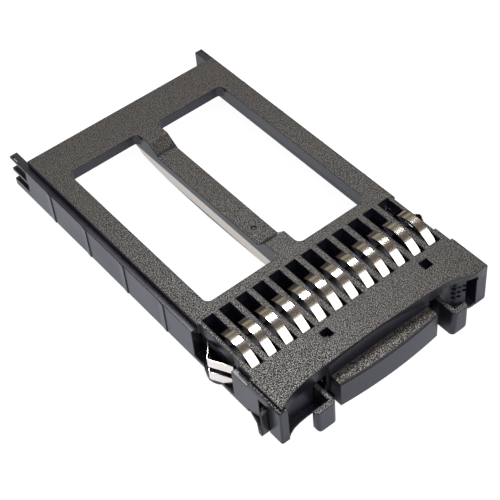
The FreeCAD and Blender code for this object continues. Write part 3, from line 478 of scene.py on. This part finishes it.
# %% Two fingers in each side opening
SIDE_FINGER_HEIGHT = 3.2
SIDE_FINGER_MIDDLES = (3.2, 8.8)            # heights of the lower and the upper finger
BOW = [                                     # (x, y) from the root over the crest to the tip
    (34.10, 3.0), (34.55, 2.3), (35.15, 1.3), (35.85, 0.2), (36.60, -0.9), (37.35, -1.9),
    (38.10, -2.8), (38.80, -3.5), (39.25, -3.95), (39.45, -4.35), (39.40, -4.85),
    (39.10, -5.5), (38.60, -6.4), (38.00, -7.5), (37.30, -8.8), (36.60, -10.1),
    (35.95, -11.3),
]
BASE_SIZE, BASE_X, BASE_Y, BASE_Z = (0.2, 13.6, 8.8), 34.1, ROOT_Y - 2.6, 6.0

for side, node in ((-1, "contact_clip_left"), (1, "contact_clip_right")):
    bm = bmesh.new()
    for middle in SIDE_FINGER_MIDDLES:
        line = [mm(side * x, y + ROOT_Y, middle) for x, y in BOW]
        bent_strip(bm, line, mm(0, 0, side * SIDE_FINGER_HEIGHT))
    flat_plate(bm, BASE_SIZE, (side * BASE_X, BASE_Y, BASE_Z))
    finish_mesh(bm, node.replace("contact_clip", "side_fingers"), contact, "tray", node)

# %% [markdown]
# ## The return springs
# Each spring stands between a stop in the tray and the arm of its latch. A coil is what a
# circle as thick as the wire leaves behind when it turns about the spring's axis and moves
# along it, and the spin operator does that when each step is given a shift.

# %% A coil of round wire
COIL_STEPS, WIRE_SIDES = 20, 10             # steps in a turn, and sides of the wire


def coil(bm, start, length, radius, wire, turns):
    """Adds a helix of round wire along X, closed at both ends."""
    steps = turns * COIL_STEPS
    ring = bmesh.ops.create_circle(bm, segments=WIRE_SIDES, radius=wire / 2)["verts"]
    bmesh.ops.rotate(bm, verts=ring, matrix=Matrix.Rotation(-math.pi / 2, 3, "X"))
    bmesh.ops.translate(bm, verts=ring, vec=Vector(start) + Vector((wire / 2, 0, -radius)))
    bmesh.ops.spin(bm, geom=ring + bm.edges[:], cent=start, axis=(1, 0, 0),
                   angle=2 * math.pi * turns, steps=steps, dvec=((length - wire) / steps, 0, 0))
    bmesh.ops.holes_fill(bm, edges=bm.edges, sides=WIRE_SIDES)


# %% Two coil springs
LENGTH, TRAVEL = mm(8.6, 2.6)   # at rest, and how far its latch moves
COIL_RADIUS, WIRE_THICK = mm(1.2, 0.46)
TURNS = 5
AXIS_Y, AXIS_Z = mm(ROOT_Y - 26.25, 5.0)

for name, side, stop_x in (("left", -1, -13.2 * MM), ("right", 1, 12.8 * MM)):
    low_x = min(stop_x, stop_x + side * LENGTH)
    bm = bmesh.new()
    coil(bm, (low_x, AXIS_Y, AXIS_Z), LENGTH, COIL_RADIUS, WIRE_THICK, TURNS)
    spring = finish_mesh(bm, "return_spring_" + name, wire_steel, "tray", "latch_spring_" + name)
    (LENGTH - TRAVEL) / LENGTH
    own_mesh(spring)

# %% [markdown]
# ## The studio
# A pale floor and soft lamps show the shape without colouring it. The floor glows a little
# for the camera and for reflections, so that it reads white and still keeps a faint shadow.
# In reflections it is dark under the front block, where a real floor would get no light.
# Two soft boxes hang over the caddy, one behind and one in front, and a strip of dim ceiling
# between them puts the dark band on every finger that makes polished metal look like metal. A
# third soft box lights the plastic evenly and is left out of reflections.

# %% Floor
FLOOR_HALF = 3.0
FLOOR_Z = cad_low.z - 0.2 * MM

floor_mesh = bpy.data.meshes.new("floor")
bm = bmesh.new()
bmesh.ops.create_grid(bm, x_segments=1, y_segments=1, size=FLOOR_HALF)
bmesh.ops.translate(bm, verts=bm.verts, vec=(0, 0, FLOOR_Z))
bm.to_mesh(floor_mesh)
bm.free()
floor = add_object("floor", floor_mesh)
print("floor at z = %.1f mm" % (1000 * FLOOR_Z))

# %% Paper that glows, with a shade under the front block
BLOCK_Y = (mm(-66.0, -62.0), mm(-29.0, -22.0))
BLOCK_HALF_X = mm(34.93, 38.73)
PAPER, GLOW = (0.10, 0.10, 0.104, 1), (0.95, 0.95, 0.955, 1)
REFLECTED_GLOW, REFLECTED_SHADE = (0.80, 0.82, 0.90, 1), (0.10, 0.10, 0.13, 1)
BLACK = (0, 0, 0, 1)

paper = Finish("paper", Roughness=0.9, Base_Color=PAPER, IOR=1.0, Emission_Strength=1.0)
rays = paper.node("ShaderNodeLightPath", {}, {})
seen = paper.node("ShaderNodeMath", {"operation": "MAXIMUM"}, {
    0: rays["Is Camera Ray"], 1: rays["Is Glossy Ray"]})["Value"]
x, y = paper.axes(paper.place())[:2]
shade = ((1 - paper.fade(x * x, *(edge ** 2 for edge in BLOCK_HALF_X)))
         * paper.within(y, *BLOCK_Y))
reflected = paper.blend(shade, REFLECTED_GLOW, REFLECTED_SHADE)
glow = paper.blend(rays["Is Glossy Ray"], GLOW, reflected)
paper.feed(Emission_Color=paper.blend(seen, BLACK, glow))
floor_mesh.materials.append(paper.material)
print("the shade is %.0f mm deep" % (1000 * (BLOCK_Y[1][1] - BLOCK_Y[0][0])))

# %% World
WHITE, FILL = (1, 1, 1, 1), (0.24, 0.25, 0.29, 1)
CEILING = [                     # height from nadir (0) to zenith (1), and its colour
    (0.00, (0.10, 0.09, 0.08, 1)), (0.22, (0.06, 0.05, 0.04, 1)),
    (0.31, (0.46, 0.42, 0.35, 1)), (0.38, (0.46, 0.42, 0.35, 1)),
    (0.46, (0.15, 0.12, 0.09, 1)), (0.80, (0.10, 0.08, 0.065, 1)),
]

world = bpy.data.worlds.new("studio")
world.use_nodes = True
world.node_tree.nodes.clear()
sky = Graph(world.node_tree)


def background(colour):
    return sky.node("ShaderNodeBackground", {}, {"Color": colour})["Background"]


rays = sky.node("ShaderNodeLightPath", {}, {})
height = sky.axes(sky.node("ShaderNodeTexCoord", {}, {})["Generated"])[2]
ceiling = sky.node("ShaderNodeValToRGB", {"stops": CEILING}, {"Fac": height})["Color"]
unseen = sky.node("ShaderNodeMixShader", {}, {
    0: rays["Is Glossy Ray"], 1: background(FILL), 2: background(ceiling)})["Shader"]
clear = sky.node("ShaderNodeMath", {"operation": "MAXIMUM"}, {
    0: rays["Is Camera Ray"], 1: rays["Is Transmission Ray"]})["Value"]
shown = sky.node("ShaderNodeMixShader", {}, {
    0: clear, 1: unseen, 2: background(WHITE)})["Shader"]
sky.node("ShaderNodeOutputWorld", {}, {"Surface": shown})
bpy.context.scene.world = world
print("world: white to the camera, a dim ceiling in reflections")

# %% Lamps
LIT_POINT = Vector(mm(0, -40, 15))          # the middle of the contact fingers


def standing(place, right, up, back):
    """The matrix of a lamp or camera at a place, which looks away from its back."""
    return Matrix.Translation(place) @ Matrix((right, up, back)).transposed().to_4x4()


def soft_box(name, toward, distance, size, power):
    """A rectangle of light that faces the contact fingers, its long sides along X."""
    back = Vector(toward).normalized()
    right = (Vector((1, 0, 0)) - back * back.x).normalized()
    data = bpy.data.lights.new(name, "AREA")
    data.shape = "RECTANGLE"
    data.size, data.size_y = size
    data.energy = power
    made = add_object(name, data)
    made.matrix_world = standing(LIT_POINT + back * distance, right, back.cross(right), back)
    return made


soft_box("box_behind", toward=(0.17, 0.40, 0.90), distance=0.55, size=(0.30, 0.15), power=3.8)
soft_box("box_front", toward=(0.39, -0.616, 0.684), distance=0.60, size=(0.36, 0.34), power=0.9)
above = soft_box("box_above", toward=(-0.20, -0.45, 0.87), distance=0.50, size=(0.40, 0.40),
                 power=3.0)
above.visible_glossy = False

# %% [markdown]
# ## The camera
# A camera looks along its own -Z with +Y up. Its turn is built here from a bearing, a height
# angle and a small roll, in the order in which a tripod head is set.

# %% Camera
BEARING, ELEVATION, ROLL = map(math.radians, (-34.82, 47.67, -5.687))
CAMERA_PLACE = (-0.14987, -0.222115, 0.28974)
FOCAL_LENGTH, SENSOR_WIDTH = 94.48, 36.0    # millimetres
SHIFT_X, SHIFT_Y = -0.01215, -0.0025

back = Vector((math.sin(BEARING) * math.cos(ELEVATION),
               -math.cos(BEARING) * math.cos(ELEVATION), math.sin(ELEVATION)))
level = Vector((math.cos(BEARING), math.sin(BEARING), 0.0))
upright = back.cross(level)
right = level * math.cos(ROLL) + upright * math.sin(ROLL)
up = upright * math.cos(ROLL) - level * math.sin(ROLL)

data = bpy.data.cameras.new("camera")
data.lens, data.sensor_width = FOCAL_LENGTH, SENSOR_WIDTH
data.shift_x, data.shift_y = SHIFT_X, SHIFT_Y
data.clip_start = 0.01
camera = add_object("camera", data)
camera.matrix_world = standing(CAMERA_PLACE, right, up, back)
bpy.context.scene.camera = camera
bpy.context.scene.view_settings.view_transform = "Standard"
print("camera %.0f mm from the caddy" % (1000 * camera.matrix_world.translation.length))

# %% [markdown]
# ## Finish
# The view layer is brought up to date.

# %% Finish
bpy.context.view_layer.update()
